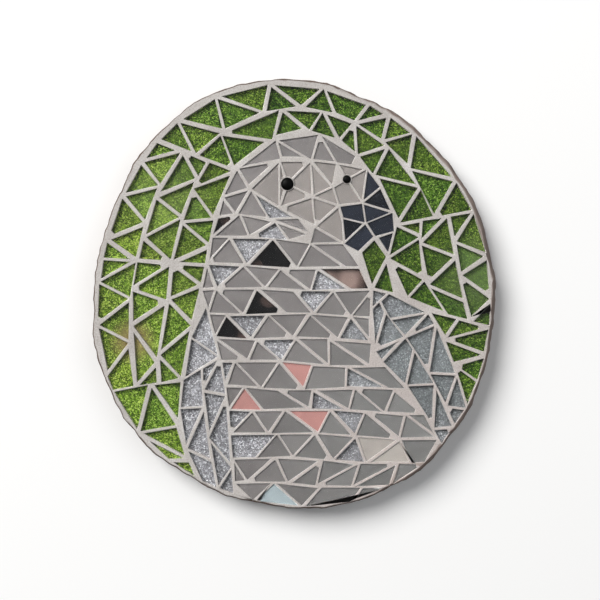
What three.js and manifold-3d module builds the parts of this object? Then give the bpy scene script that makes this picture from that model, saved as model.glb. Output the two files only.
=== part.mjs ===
// A round wall panel: a slice of a log faced with a mosaic of cut glass. The picture is a grey parrot on a
// green ground. The glass is stuck to the wood, and grout fills the joints and runs out to the rim.
//
// Millimetres. The panel hangs upright: +Z is up, -Y faces the viewer, and the origin is the middle of its
// flat back. It is modelled lying on its back, X to the right, Y up the picture and Z out of the wall, and
// the group at the end turns it upright.
import * as THREE from "three";
import { mergeVertices } from "three/addons/utils/BufferGeometryUtils.js";
import Module from "manifold-3d";

const wasm = await Module();
wasm.setup();

// ---- Driving dimensions -----------------------------------------------------------------------------------

const MEAN_RADIUS = 134.2; // of the slice, seen from the front
// The log wasn't round: each wave is how often it goes round the rim, its height, and its phase in degrees.
const SLOW_WAVES = [
  [1, 0.8, -40],
  [2, 4.7, -166],
  [3, 1.6, -81],
  [4, 1.4, 107],
];
const EDGE_RIPPLES = [
  [13, 0.45, 20],
  [19, 0.35, 75],
  [29, 0.3, 140],
];
const RIM_SEGMENTS = 80;

const BOARD_THICKNESS = 18;
const BOARD_SKEW = 2.6; // the saw cut the log aslant, so the back lies this far to the right of the front
const BARK_BULGE = 1.3; // of the side, half way through the wood
const BOARD_ARRIS = 1.6; // rounding of the front edge

const BED_THICKNESS = 1; // of the adhesive under the glass
const BED_INSET = 0.9; // of the adhesive, from the edge of its field
const GLASS_THICKNESS = 4;
const GROUT_BELOW_GLASS = 0.6;
const GROUT_ARRIS = 1.2; // rounding of the grout where it ends at the rim
const GROUT_BACK_FROM_RIM = 0.6;

const LAYING_ERROR = 0.2; // how far off its true place a corner may lie, as a share of the joint
const UNEVEN_SIDE = 0.45; // how much more a side may keep back than half the joint, as a share of the joint
const CLEARANCE = 0.3; // between the glass and the grout around it
const LEAST_TILE_AREA = 28;
const NIPPED_SHARE = 0.22; // share of the triangles with their sharpest corner nipped off
const NIP_LENGTH = 3.2;
const MOST_NIPPED = 0.3; // of the length of a side

const BORDER = 3.1; // of bare grout between the outermost glass and the rim, at its mean
const BORDER_SWING = 1.2; // it is this much wider at the upper left and narrower at the lower right
const BORDER_WIDEST_AT = 130;

const EYE_NEAR = { x: -3, y: 71, radius: 3.9, height: 5.2 };
const EYE_FAR = { x: 35, y: 74, radius: 2.4, height: 4.8 };
const EYE_JOINT = 0.9; // of the grout round an eye

// ---- Levels, measured out of the wall ---------------------------------------------------------------------

const BED_TOP = BOARD_THICKNESS + BED_THICKNESS;
const GLASS_TOP = BED_TOP + GLASS_THICKNESS;
const GROUT_TOP = GLASS_TOP - GROUT_BELOW_GLASS;

// ---- Small tools ------------------------------------------------------------------------------------------

const radians = THREE.MathUtils.degToRad;
const lerp = THREE.MathUtils.lerp;

// The same numbers between 0 and 1 in every run (mulberry32).
function dice(seed) {
  let state = seed;
  return () => {
    state = (state + 0x6d2b79f5) | 0;
    let t = Math.imul(state ^ (state >>> 15), 1 | state);
    t = (t + Math.imul(t ^ (t >>> 7), 61 | t)) ^ t;
    return ((t ^ (t >>> 14)) >>> 0) / 4294967296;
  };
}

function waves(list, degrees) {
  const heights = list.map(([times, height, phase]) => height * Math.cos(radians(times * degrees - phase)));
  return heights.reduce((sum, height) => sum + height, 0);
}

const slowRadius = (degrees) => MEAN_RADIUS + waves(SLOW_WAVES, degrees);
const rimRadius = (degrees) => slowRadius(degrees) + waves(EDGE_RIPPLES, degrees);
const border = (degrees) => BORDER + BORDER_SWING * Math.cos(radians(degrees - BORDER_WIDEST_AT));

function polar(radius, degrees) {
  return new THREE.Vector2(radius * Math.cos(radians(degrees)), radius * Math.sin(radians(degrees)));
}

function area(points) {
  return Math.abs(THREE.ShapeUtils.area(points));
}

const anticlockwise = (points) => (THREE.ShapeUtils.isClockWise(points) ? [...points].reverse() : points);

// A closed three.js geometry as a solid that can be joined and cut.
function solidOf(geometry) {
  const bare = geometry.clone();
  bare.deleteAttribute("normal");
  bare.deleteAttribute("uv");
  const merged = mergeVertices(bare, 1e-4);
  return new wasm.Manifold(
    new wasm.Mesh({
      numProp: 3,
      vertProperties: merged.attributes.position.array,
      triVerts: new Uint32Array(merged.index.array),
    }),
  );
}

function geometryOf(solid) {
  const mesh = solid.getMesh();
  const geometry = new THREE.BufferGeometry();
  geometry.setAttribute("position", new THREE.BufferAttribute(mesh.vertProperties, 3));
  geometry.setIndex(new THREE.BufferAttribute(mesh.triVerts, 1));
  const flat = geometry.toNonIndexed();
  flat.computeVertexNormals();
  return flat;
}

function prism(points, bottom, top) {
  const shape = new THREE.Shape(points);
  const geometry = new THREE.ExtrudeGeometry(shape, { depth: top - bottom, bevelEnabled: false });
  return solidOf(geometry.translate(0, 0, bottom));
}

function cylinder({ x, y, radius }, bottom, top) {
  const geometry = new THREE.CylinderGeometry(radius, radius, top - bottom, 16);
  return solidOf(geometry.rotateX(Math.PI / 2).translate(x, y, (bottom + top) / 2));
}

// Where two sides meet. Sides that are nearly in line meet half way between their ends.
const NEARLY_IN_LINE = 0.02; // sine of the angle between them
function meeting(before, side) {
  const turn = before.along.cross(side.along);
  if (Math.abs(turn) < NEARLY_IN_LINE) return before.end.clone().lerp(side.start, 0.5);
  const gap = side.start.clone().sub(before.start);
  return before.start.clone().addScaledVector(before.along, gap.cross(side.along) / turn);
}

// The outline with every side moved outwards by distance, or inwards where it is negative, and then inwards
// by its own setback. The outline runs anticlockwise. A side that would turn inside out is left out.
const LEAST_SIDE = 0.05;
function offset(points, distance, setbacks = []) {
  let sides = points.map((start, i) => {
    const end = points[(i + 1) % points.length];
    const along = end.clone().sub(start).normalize();
    const shift = new THREE.Vector2(along.y, -along.x).multiplyScalar(distance - (setbacks[i] ?? 0));
    return { start: start.clone().add(shift), end: end.clone().add(shift), along };
  });
  while (sides.length >= 3) {
    const corners = sides.map((side, i) => meeting(sides.at(i - 1), side));
    const spans = sides.map((_, i) => corners[(i + 1) % sides.length].clone().sub(corners[i]));
    const lengths = sides.map((side, i) => spans[i].dot(side.along));
    const least = Math.min(...lengths);
    if (least > LEAST_SIDE) return corners;
    sides = sides.filter((_, i) => lengths[i] !== least);
  }
  return [];
}

// ---- Guide lines of the picture ---------------------------------------------------------------------------

// A guide is a curve whose parameter counts its own points, so that at(2) is its third point. Its step is how
// closely an outline follows it.
function guide(...points) {
  const knots = points.map((p) => (p.isVector2 ? p : new THREE.Vector2(...p)));
  const curve = new THREE.SplineCurve(knots);
  return { at: (t) => curve.getPoint(t / (knots.length - 1)), last: knots.length - 1, step: 0.5 };
}

// The edge of the glass, all round the panel. Its parameter is an angle in degrees.
const rim = { at: (degrees) => polar(slowRadius(degrees) - border(degrees), degrees), step: 6 };

const TAIL = 244; // where the back of the bird meets the rim
const NEAR_FOLD_END = 254; // where the edge of its folded near wing meets the rim
const FAR_FOLD_END = -45; // and that of its far wing
const WING_END = -33; // where the outside of its far wing meets the rim

const NAPE = [-50, 46];
const BROW = [48, 81];
const BILL_TIP = [61, 24];
const CHIN = [43, 27];
const SHOULDER = [51, 4];

const back = guide(rim.at(TAIL), [-71, -87], [-69, -50], [-61, -10], [-54, 22], NAPE);
const head = guide(NAPE, [-34, 82], [0, 103], [30, 98], BROW);
const bill = guide(BROW, [59, 65], [66, 45], BILL_TIP);
const gape = guide(BILL_TIP, [53, 37], CHIN);
const throat = guide(CHIN, [45, 14], SHOULDER);
const wing = guide(SHOULDER, [70, -1], [87, -11], [101, -39], rim.at(WING_END));

const NEAR_SHOULDER = 3.4; // on the back, at the height of the other shoulder
const nearFold = guide(back.at(NEAR_SHOULDER), [-50, -24], [-42, -60], rim.at(NEAR_FOLD_END));
const farFold = guide(SHOULDER, [52, -34], [74, -60], rim.at(FAR_FOLD_END));

// The upper edge of the pale face, and the lower one, which goes on under the bill.
const faceEdge = guide([-27, 68], [-8, 86], [12, 86], [29, 84], BROW);
const jaw = guide([-27, 68], [-8, 56], [15, 44], [33, 33]);

// A corner of a field or of a piece of glass: its place, and the guides that it lies on.
function corner(place, ...on) {
  const point = Array.isArray(place) ? new THREE.Vector2(...place) : place;
  return { point, on: new Map(on) };
}
const onGuide = (curve, t) => corner(curve.at(t), [curve, t]);
const onRim = (degrees) => onGuide(rim, degrees);

// The guide that both corners lie on, if there is one.
function sharedGuide(a, b) {
  return [...a.on.keys()].find((curve) => b.on.has(curve));
}

// The corner part way from a to b, which follows the guide that they share.
function between(a, b, share) {
  if (share === 0) return a;
  if (share === 1) return b;
  const curve = sharedGuide(a, b);
  if (!curve) return corner(a.point.clone().lerp(b.point, share));
  return onGuide(curve, lerp(a.on.get(curve), b.on.get(curve), share));
}

// A path through several corners in turn, for a share of its length in corners.
function path(...corners) {
  return (t) => {
    const k = Math.min(Math.floor(t * (corners.length - 1)), corners.length - 2);
    return between(corners[k], corners[k + 1], t * (corners.length - 1) - k);
  };
}

// The outline as plain points. On a guide they are the same ones for the fields on both sides of it.
function refined(outline) {
  return outline.flatMap((a, i) => {
    const b = outline[(i + 1) % outline.length];
    const curve = sharedGuide(a, b);
    if (!curve) return [a.point];
    const [from, to] = [a.on.get(curve), b.on.get(curve)];
    const way = Math.sign(to - from);
    const points = [a.point];
    const past = curve.step * 0.3;
    for (let k = Math.round(from / curve.step) + way; way * (to - k * curve.step) > past; k += way) {
      if (way * (k * curve.step - from) > past) points.push(curve.at(k * curve.step));
    }
    return points;
  });
}

// ---- Cutting a field into pieces of glass -----------------------------------------------------------------

// A guide line that swings to both sides of a plain one. Its ends stay where they are.
function wavy(line, towards, swing, roll) {
  const phase = roll() * Math.PI * 2;
  const times = lerp(0.5, 1.2, roll());
  return (t) => {
    if (t === 0 || t === 1) return line(t);
    const share = swing * Math.sin(times * t * Math.PI * 2 + phase) * Math.sin(t * Math.PI);
    return corner(line(t).point.clone().lerp(towards(t).point, share));
  };
}

function lengthOf(line) {
  const points = Array.from({ length: 9 }, (_, k) => line(k / 8).point);
  return points.slice(1).reduce((sum, p, k) => sum + p.distanceTo(points[k]), 0);
}

// Cuts the course between two guide lines into triangles that point up and down in turn. Now and then two
// neighbours are left as one piece with four corners.
const FOUR_SIDED_SHARE = 0.14;
const FOUR_SIDED_AREA = 360;
const LEAST_TURN = 30; // at a corner of such a piece, as the cross product of the sides that meet there
const STOP_SWING = 0.3; // how far a corner may slide along its course, as a share of a piece

function isConvex(points) {
  const turns = points.map((p, i) => {
    const before = p.clone().sub(points.at(i - 1));
    const after = points[(i + 1) % points.length].clone().sub(p);
    return before.cross(after);
  });
  return turns.every((turn) => turn > LEAST_TURN) || turns.every((turn) => turn < -LEAST_TURN);
}

function zigzag(low, high, base, roll) {
  const length = (lengthOf(low) + lengthOf(high)) / 2;
  const count = Math.max(2, Math.round((2 * length) / base));
  const swing = () => lerp(-STOP_SWING, STOP_SWING, roll());
  const stops = Array.from({ length: count - 1 }, (_, k) => (k + 1 + swing()) / count);
  const [first, second] = roll() < 0.5 ? [high, low] : [low, high];
  const row = [second(0), first(0), ...stops.map((t, k) => (k % 2 ? first(t) : second(t)))];
  row.push(...(stops.length % 2 ? [first(1), second(1)] : [second(1), first(1)]));
  const cells = [];
  for (let k = 0; k + 2 < row.length; k++) {
    const [a, b, c, d] = row.slice(k, k + 4);
    const four = d && [a, b, d, c].map((end) => end.point);
    const isFour = four && roll() < FOUR_SIDED_SHARE && isConvex(four) && area(four) < FOUR_SIDED_AREA;
    cells.push(isFour ? [a, b, d, c] : [a, b, c]);
    if (isFour) k++;
  }
  return cells;
}

// Fills the strip between two lines with a number of courses. A strip that tapers begins or ends with one
// triangle, as long as its share of the strip.
const COURSE_SWING = 0.05;
function courses(inner, outer, count, base, roll, tipAtStart = 0, tipAtEnd = 0) {
  const part = (line) => (t) => line(lerp(tipAtStart, 1 - tipAtEnd, t));
  const lines = Array.from({ length: count + 1 }, (_, k) => {
    if (k === 0) return part(inner);
    if (k === count) return part(outer);
    const plain = (t) => corner(inner(t).point.clone().lerp(outer(t).point, k / count));
    return wavy(part(plain), part(outer), COURSE_SWING, roll);
  });
  const cells = lines.slice(1).flatMap((line, k) => zigzag(lines[k], line, base, roll));
  if (tipAtStart) cells.push([inner(0), inner(tipAtStart), outer(tipAtStart)]);
  if (tipAtEnd) cells.push([inner(1), outer(1 - tipAtEnd), inner(1 - tipAtEnd)]);
  return cells;
}

// ---- The fields of the picture ----------------------------------------------------------------------------

const fields = [];
function addField(name, glass, joint, outline, cells, singly = "") {
  fields.push({ name, glass, joint, outline, cells, singly });
}

const tail = corner(rim.at(TAIL), [back, 0], [rim, TAIL]);
const nape = corner(NAPE, [back, back.last], [head, 0]);
const brow = corner(BROW, [head, head.last], [bill, 0], [faceEdge, faceEdge.last]);
const billTip = corner(BILL_TIP, [bill, bill.last], [gape, 0]);
const chin = corner(CHIN, [gape, gape.last], [throat, 0]);
const shoulder = corner(SHOULDER, [throat, throat.last], [wing, 0], [farFold, 0]);
const wingEnd = corner(rim.at(WING_END), [wing, wing.last], [rim, WING_END]);
const nearShoulder = corner(back.at(NEAR_SHOULDER), [back, NEAR_SHOULDER], [nearFold, 0]);
const nearFoldEnd = corner(rim.at(NEAR_FOLD_END), [nearFold, nearFold.last], [rim, NEAR_FOLD_END]);
const farFoldEnd = corner(rim.at(FAR_FOLD_END), [farFold, farFold.last], [rim, FAR_FOLD_END]);
const cheek = corner(faceEdge.at(0), [faceEdge, 0], [jaw, 0]);
const underBill = corner(jaw.at(jaw.last), [jaw, jaw.last]);

// The green ground goes clockwise round the bird in sectors, each between the bird and the rim.
const GROUND_BASE = 29;
const GROUND_JOINT = 1.9;
function ground(name, count, inner, degrees, seed, tipAtStart, tipAtEnd) {
  const outer = degrees.map(onRim);
  const cells = courses(path(...inner), path(...outer), count, GROUND_BASE, dice(seed), tipAtStart, tipAtEnd);
  addField(name, "green", GROUND_JOINT, [...inner, ...outer.reverse()], cells);
}
const backAt = (t) => onGuide(back, t);
const headAt = (t) => onGuide(head, t);
const billAt = (t) => onGuide(bill, t);
const wingAt = (t) => onGuide(wing, t);
ground("ground_left", 3, [backAt(1.9), backAt(3), backAt(3.9)], [208, 188, 169], 8);
ground("ground_upper_left", 3, [backAt(3.9), nape, headAt(0.9)], [169, 149, 131], 10);
ground("ground_top", 2, [headAt(0.9), headAt(2), headAt(3)], [131, 99, 68], 11);
ground("ground_upper_right", 2, [headAt(3), brow, billAt(2)], [68, 52, 25], 7);
ground("ground_right", 3, [billAt(2), billTip, wingAt(0.8), wingAt(1.9)], [25, 13, 3, -9], 13);

// Both ends of the ground taper, and are cut to suit.
{
  const [top, middle, foot] = [1.9, 1.1, 0.5].map(backAt);
  const [a, b, c] = [208, 222, 233].map(onRim);
  const inside = corner([-90, -56]);
  addField(
    "ground_lower_left",
    "green",
    GROUND_JOINT,
    [tail, top, a],
    [
      [top, inside, middle],
      [inside, b, middle],
      [inside, a, b],
      [middle, b, foot],
      [foot, b, c],
      [foot, c, tail],
    ],
  );
}
{
  const [top, middle, foot] = [1.9, 2.65, 3.15].map(wingAt);
  const [a, b, c] = [-9, -17, -25].map(onRim);
  const inside = between(top, corner(a.point), 0.5);
  addField(
    "ground_lower_right",
    "green",
    GROUND_JOINT,
    [top, wingEnd, a],
    [
      [top, inside, middle],
      [inside, a, middle],
      [middle, a, b],
      [middle, b, foot],
      [foot, b, c],
      [foot, c, wingEnd],
    ],
  );
}

// The nook under the bill belongs to the sector on its right.
{
  const right = fields.find((f) => f.name === "ground_right");
  right.outline.splice(2, 0, onGuide(gape, 1), chin, shoulder);
  right.cells.push([billTip, onGuide(gape, 1), chin, shoulder]);
  right.cells.push([billTip, shoulder, wingAt(0.8)]);
}

// The head. A band goes over the crown from the nape to the brow.
const GREY_BASE = 25;
const GREY_JOINT = 1.4;
const FACE_JOINT = 1.3;
const faceAt = (t) => onGuide(faceEdge, t);
const crownStart = headAt(0.5);
addField(
  "crown",
  "satin",
  GREY_JOINT,
  [crownStart, brow, cheek],
  courses(path(cheek, brow), path(crownStart, brow), 1, GREY_BASE, dice(5), 0, 0.14),
);

// The pale face, with a piece of glass on every side of either eye.
const eyeNear = corner([EYE_NEAR.x, EYE_NEAR.y]);
const eyeFar = corner([EYE_FAR.x, EYE_FAR.y]);
const jawBack = onGuide(jaw, 1);
const jawFoot = onGuide(jaw, 2);
const billRoot = corner([45, 59]);
const faceMiddle = corner([13, 63]);
const faceRight = corner([26, 69]);
const faceLow = corner([30, 57]);
const billBack = corner([32, 49]);
addField(
  "face",
  "pale",
  FACE_JOINT,
  [cheek, brow, billRoot, faceLow, billBack, underBill],
  [
    [cheek, faceAt(1), jawBack],
    [faceAt(1), faceAt(2), eyeNear],
    [faceAt(2), faceMiddle, eyeNear],
    [faceMiddle, jawBack, eyeNear],
    [jawBack, faceAt(1), eyeNear],
    [faceAt(2), faceAt(3), faceRight],
    [faceAt(2), faceRight, faceMiddle],
    [faceAt(3), brow, eyeFar],
    [faceAt(3), eyeFar, faceRight],
    [brow, billRoot, eyeFar],
    [billRoot, faceLow, faceRight, eyeFar],
    [faceMiddle, faceRight, faceLow],
    [faceMiddle, faceLow, jawFoot],
    [faceMiddle, jawFoot, jawBack],
    [faceLow, billBack, underBill, jawFoot],
  ],
);

// The bill is of few pieces, each laid on the wood by itself.
const billMiddle = corner([47, 46]);
addField(
  "bill",
  "navy",
  FACE_JOINT,
  [brow, billTip, chin, underBill, billBack, faceLow, billRoot],
  [
    [brow, billAt(0.8), billRoot],
    [billAt(0.8), billAt(1.6), billRoot],
    [billRoot, billAt(1.6), billMiddle],
    [billAt(1.6), billAt(2.2), onGuide(gape, 1), billMiddle],
    [billAt(2.2), billTip, onGuide(gape, 1)],
    [faceLow, billRoot, billMiddle, billBack],
    [billBack, billMiddle, underBill],
    [billMiddle, onGuide(gape, 1), chin, underBill],
  ],
  "bill_tile",
);

// From here down the grey glass lies in roughly level courses, from wing to wing.
const roll = dice(30);

// The corner of a guide at a height, found by halving. The guide falls from start to end.
function atHeight(curve, height, start, end) {
  let [high, low] = [start, end];
  for (let k = 0; k < 40; k++) {
    const middle = (high + low) / 2;
    if (curve.at(middle).y > height) high = middle;
    else low = middle;
  }
  return onGuide(curve, (high + low) / 2);
}

const LEVEL_SWING = 1.8; // of a joint between two courses, up and down
function levelLine(left, right) {
  const above = (t) => corner(between(left, right, t).point.clone().add(new THREE.Vector2(0, LEVEL_SWING)));
  return wavy(path(left, right), above, 1, roll);
}

// The neck: two courses under the jaw and two more down to the shoulders.
const neckLines = [
  path(crownStart, cheek, jawBack, jawFoot, underBill),
  levelLine(backAt(4.55), underBill),
  levelLine(backAt(3.95), onGuide(throat, 0.75)),
  levelLine(nearShoulder, shoulder),
];
addField(
  "neck_upper",
  "satin",
  GREY_JOINT,
  [backAt(4.55), nape, crownStart, cheek, underBill],
  courses(neckLines[1], neckLines[0], 2, GREY_BASE, roll, 0, 0.26),
);
addField(
  "neck_lower",
  "satin",
  GREY_JOINT,
  [backAt(4.55), underBill, chin, shoulder, nearShoulder],
  [
    ...zigzag(neckLines[2], neckLines[1], GREY_BASE, roll),
    ...zigzag(neckLines[3], neckLines[2], GREY_BASE, roll),
  ],
);

// The breast, in pairs of courses between the wings, and the last course above the rim.
const COURSE_HEIGHT = 15.4;
const COURSE_SLOPE = 3; // a course falls this much from left to right
const COURSES = 8;
const RIM_BOTTOM = -90;
const FOOT_BASE = 29;
const FOOT_SHARE = 0.92; // of the last line, over which the lowest course runs
const rimCorner = corner(rim.at(NEAR_FOLD_END), [rim, NEAR_FOLD_END - 360], [nearFold, nearFold.last]);

function courseEnds(k) {
  const height = shoulder.point.y - k * COURSE_HEIGHT;
  const left = atHeight(nearFold, height, 0, nearFold.last);
  const isLow = height - COURSE_SLOPE < farFoldEnd.point.y;
  const [curve, start, end] = isLow ? [rim, FAR_FOLD_END, RIM_BOTTOM] : [farFold, 0, farFold.last];
  return [left, atHeight(curve, height - COURSE_SLOPE, start, end)];
}
const ends = [[nearShoulder, shoulder]];
const levels = [neckLines.at(-1)];
for (let k = 1; k <= COURSES; k++) {
  ends.push(courseEnds(k));
  levels.push(levelLine(...ends[k]));
}
for (let k = 0; k < COURSES; k += 2) {
  const cells = [k, k + 1].flatMap((row) => zigzag(levels[row + 1], levels[row], GREY_BASE, roll));
  const right = [ends[k][1], ends[k + 2][1]];
  if (!sharedGuide(...right)) right.splice(1, 0, farFoldEnd);
  addField(`breast_${k / 2 + 1}`, "satin", GREY_JOINT, [ends[k][0], ...right, ends[k + 2][0]], cells);
}
{
  const [left, right] = ends[COURSES];
  const lastLine = (t) => levels[COURSES](t * FOOT_SHARE);
  const cells = zigzag(path(rimCorner, right), lastLine, FOOT_BASE, roll);
  addField("breast_foot", "satin", GREY_JOINT, [left, right, rimCorner], cells);
}

// The folded wings: the near one is a narrow strip, and the far one is broad.
const foldAt = (t) => onGuide(nearFold, t);
const farAt = (t) => onGuide(farFold, t);
addField(
  "near_wing",
  "silver",
  GREY_JOINT,
  [nearShoulder, nearFoldEnd, tail],
  [
    ...courses(path(nearShoulder, foldAt(1.5)), path(nearShoulder, backAt(1.9)), 1, 34, roll, 0.3),
    ...courses(path(foldAt(1.5), nearFoldEnd), path(backAt(1.9), tail), 2, 31, roll),
  ],
);
addField(
  "far_wing",
  "silver",
  GREY_JOINT,
  [shoulder, wingEnd, farFoldEnd],
  [
    ...courses(path(shoulder, farAt(1.3)), path(shoulder, wingAt(2)), 2, GREY_BASE, roll, 0.3),
    ...courses(path(farAt(1.3), farFoldEnd), path(wingAt(2), wingAt(3), wingEnd), 2, GREY_BASE, roll),
  ],
);

// ---- Single pieces of another glass, each at the cell nearest to its place --------------------------------

const ACCENTS = [
  ["black", -42, 46],
  ["black", -16, 24],
  ["black", -22, -8],
  ["black", -38, -18],
  ["black", 32, 15],
  ["rose", 3, -50],
  ["rose", -36, -70],
  ["rose", 16, -78],
  ["ice", -16, -124],
  ["pearl", 72, -98],
  ["pearl", 60, -104],
];
const SPARKLE_COUNT = 16; // pieces of silver glitter among the plain grey ones
const SPARKLE_STEP = 5; // one in every so many
const FIRST_SPARKLE = 2;

// ---- From cells to glass ----------------------------------------------------------------------------------

function nipped(points) {
  if (points.length !== 3) return points;
  const sharpness = points.map((p, i) => {
    const a = points[(i + 1) % 3].clone().sub(p);
    const b = points[(i + 2) % 3].clone().sub(p);
    return a.dot(b) / (a.length() * b.length());
  });
  const i = sharpness.indexOf(Math.max(...sharpness));
  const [p, next, before] = [points[i], points[(i + 1) % 3], points[(i + 2) % 3]];
  const step = (q) => p.clone().lerp(q, Math.min(MOST_NIPPED, NIP_LENGTH / p.distanceTo(q)));
  return [step(next), next, before, step(before)];
}

// How far a guide bulges into the cell between two corners on it. A straight side keeps back by that much.
function bulge(a, b) {
  if (!sharedGuide(a, b)) return 0;
  const along = b.point.clone().sub(a.point);
  const out = between(a, b, 0.5).point.clone().sub(a.point);
  return Math.max(0, along.cross(out) / along.length());
}

// The outline of the piece of glass that fills a cell, or null where it would be a splinter. Corners that are
// closer together than this count as one.
const SAME_CORNER = 1;
function glassOutline(cell, joint) {
  const isClockwise = THREE.ShapeUtils.isClockWise(cell.map((c) => c.point));
  const turned = isClockwise ? [...cell].reverse() : cell;
  const corners = turned.filter((c, i) => c.point.distanceTo(turned.at(i - 1).point) > SAME_CORNER);
  if (corners.length < 3) return null;
  const bulges = corners.map((a, i) => bulge(a, corners[(i + 1) % corners.length]));
  const setbacks = bulges.map((height) => height + UNEVEN_SIDE * joint * roll());
  const shares = corners.map(() => [roll() - 0.5, roll() - 0.5]);
  const isNipped = roll() < NIPPED_SHARE;
  const points = corners.map((c) => c.point);
  const small = offset(points, -joint / 2, setbacks);
  if (small.length < points.length || area(small) < LEAST_TILE_AREA) return null;
  const errors = shares.map((share) => new THREE.Vector2(...share).multiplyScalar(2 * LAYING_ERROR * joint));
  const moved = small.map((p, i) => p.clone().add(errors[i]));
  return isNipped ? nipped(moved) : moved;
}

function middleOf(points) {
  return points.reduce((sum, p) => sum.add(p), new THREE.Vector2()).divideScalar(points.length);
}

for (const field of fields) {
  field.tiles = field.cells
    .map((cell) => glassOutline(cell, field.joint))
    .filter(Boolean)
    .map((outline) => ({
      outline,
      glass: field.glass,
      middle: middleOf(outline),
      byEye: field.name === "face",
    }));
}

const greyTiles = fields.filter((f) => f.glass === "satin" && f.name !== "crown").flatMap((f) => f.tiles);
for (const [glass, x, y] of ACCENTS) {
  const place = new THREE.Vector2(x, y);
  const free = greyTiles.filter((t) => t.glass === "satin");
  free.sort((a, b) => a.middle.distanceTo(place) - b.middle.distanceTo(place));
  free[0].glass = glass;
}
greyTiles
  .filter((t) => t.glass === "satin")
  .filter((_, k) => k % SPARKLE_STEP === FIRST_SPARKLE)
  .slice(0, SPARKLE_COUNT)
  .forEach((t) => (t.glass = "silver"));

// ---- Materials --------------------------------------------------------------------------------------------

function material(color, roughness, metalness = 0) {
  return new THREE.MeshStandardMaterial({ color, roughness, metalness });
}
const MATERIALS = {
  wood: material(0x8d7b6f, 0.85),
  grout: material(0xc9c3be, 0.9),
  green: material(0x4f7d22, 0.35),
  satin: material(0x848281, 0.4),
  pale: material(0xa5a09a, 0.4),
  silver: material(0x7f8487, 0.35),
  navy: material(0x23273a, 0.2),
  black: material(0x0b0b0c, 0.1),
  rose: material(0xc98a85, 0.35),
  ice: material(0xaab6b8, 0.3),
  pearl: material(0xa6a49c, 0.35),
};

// ---- Solids -----------------------------------------------------------------------------------------------

const panel = new THREE.Group();
panel.rotation.x = Math.PI / 2;

function addMesh(name, geometry, glass) {
  const mesh = new THREE.Mesh(geometry, MATERIALS[glass]);
  mesh.name = name;
  panel.add(mesh);
}

// The slice is turned as a plain disc of radius 1, and each of its points is then pulled out to the rim. A
// profile point is its share of the radius, its extra radius and its level.
function woodSlice() {
  const profile = [
    [0, 0, 0],
    [1, -0.8, 0],
    [1, 0.2, 1.5],
    [1, BARK_BULGE, BOARD_THICKNESS * 0.4],
    [1, BARK_BULGE * 0.7, BOARD_THICKNESS * 0.7],
    [1, 0, BOARD_THICKNESS - BOARD_ARRIS],
    [1, -BOARD_ARRIS, BOARD_THICKNESS],
    [0, 0, BOARD_THICKNESS],
  ];
  const turned = new THREE.LatheGeometry(
    profile.map(([share], level) => new THREE.Vector2(share, level)),
    RIM_SEGMENTS,
  );
  const points = turned.attributes.position;
  for (let i = 0; i < points.count; i++) {
    const [share, extra, level] = profile[Math.round(points.getY(i))];
    const degrees = THREE.MathUtils.radToDeg(Math.atan2(-points.getZ(i), points.getX(i)));
    const out = polar(share * (rimRadius(degrees) + extra), degrees);
    const skew = BOARD_SKEW * share * (1 - level / BOARD_THICKNESS);
    points.setXYZ(i, out.x + skew, level, -out.y);
  }
  return geometryOf(solidOf(turned.rotateX(Math.PI / 2)));
}

function domedBead({ x, y, radius, height }) {
  const shoulderHeight = height - radius * 0.45;
  const dome = [0.35, 0.7, 1].map((share) => {
    const angle = (share * Math.PI) / 2;
    return new THREE.Vector2(
      share === 1 ? 0 : radius * Math.cos(angle),
      lerp(shoulderHeight, height, Math.sin(angle)),
    );
  });
  const profile = [[0, 0], [radius, 0], [radius, shoulderHeight]].map((p) => new THREE.Vector2(...p));
  const geometry = new THREE.LatheGeometry([...profile, ...dome], 14);
  return geometryOf(solidOf(geometry.rotateX(Math.PI / 2).translate(x, y, BED_TOP)));
}

// An eye takes a round notch out of the glass next to it.
function withoutEyes(solid, spare, bottom, top) {
  return [EYE_NEAR, EYE_FAR].reduce((rest, eye) => {
    const notch = { ...eye, radius: eye.radius + EYE_JOINT - spare };
    return rest.subtract(cylinder(notch, bottom - 1, top + 1));
  }, solid);
}

// An eye may cut the glass next to it in two. A chip too small to set is left out.
const LEAST_CHIP = 2.5; // as the area of its face
function joined(parts) {
  return parts.reduce((all, part) => all.add(part));
}

function glassSolid(tile, bottom) {
  const solid = prism(tile.outline, bottom, GLASS_TOP);
  if (!tile.byEye) return solid;
  const least = LEAST_CHIP * (GLASS_TOP - bottom);
  const parts = withoutEyes(solid, 0, bottom, GLASS_TOP).decompose();
  return joined(parts.filter((part) => part.volume() > least));
}

// The hole that a piece of glass leaves in the grout.
const CUT_BOTTOM = BOARD_THICKNESS - 1;
const CUT_TOP = GLASS_TOP + 1;
function socket(tile) {
  const solid = prism(offset(tile.outline, CLEARANCE), CUT_BOTTOM, CUT_TOP);
  if (!tile.byEye) return solid;
  const glass = glassSolid(tile, BED_TOP);
  const parts = withoutEyes(solid, CLEARANCE, CUT_BOTTOM, CUT_TOP).decompose();
  return joined(parts.filter((part) => part.intersect(glass).volume() > 0));
}

// The pieces of one glass in a field are joined by the bed of adhesive under them. The others lie on it.
const counts = new Map();
function addSingle(name, glass, solid) {
  const number = (counts.get(name) ?? 0) + 1;
  counts.set(name, number);
  addMesh(`${name}_${number}`, geometryOf(solid), glass);
}

function bedOf(field) {
  const edge = anticlockwise(refined(field.outline));
  return prism(offset(edge, -BED_INSET), BOARD_THICKNESS, BED_TOP);
}

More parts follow.
